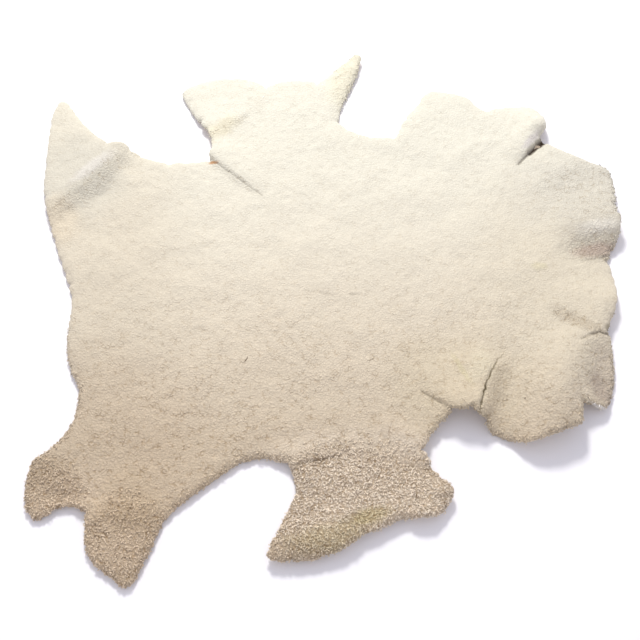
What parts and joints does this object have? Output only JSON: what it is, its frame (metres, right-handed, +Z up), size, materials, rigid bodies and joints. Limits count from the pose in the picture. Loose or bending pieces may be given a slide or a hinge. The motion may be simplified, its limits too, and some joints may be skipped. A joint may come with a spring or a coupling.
{
  "type": "curly sheepskin hide",
  "caption": "Whole cream sheepskin with short curly wool, lying wool side up, its rim lifted in soft folds at one end.",
  "frame": {"origin": "middle of the hide's box, on the surface it lies on", "axes": "+Z up, out of the wool; +Y towards the narrow ear strip; +X towards the end with the folded rim"},
  "size_m": [1.085, 1.095, 0.0587],
  "materials": {
    "wool": "matte, curly"
  },
  "bodies": {
    "root": {"sheepskin": "wool"}
  },
  "joints": []
}
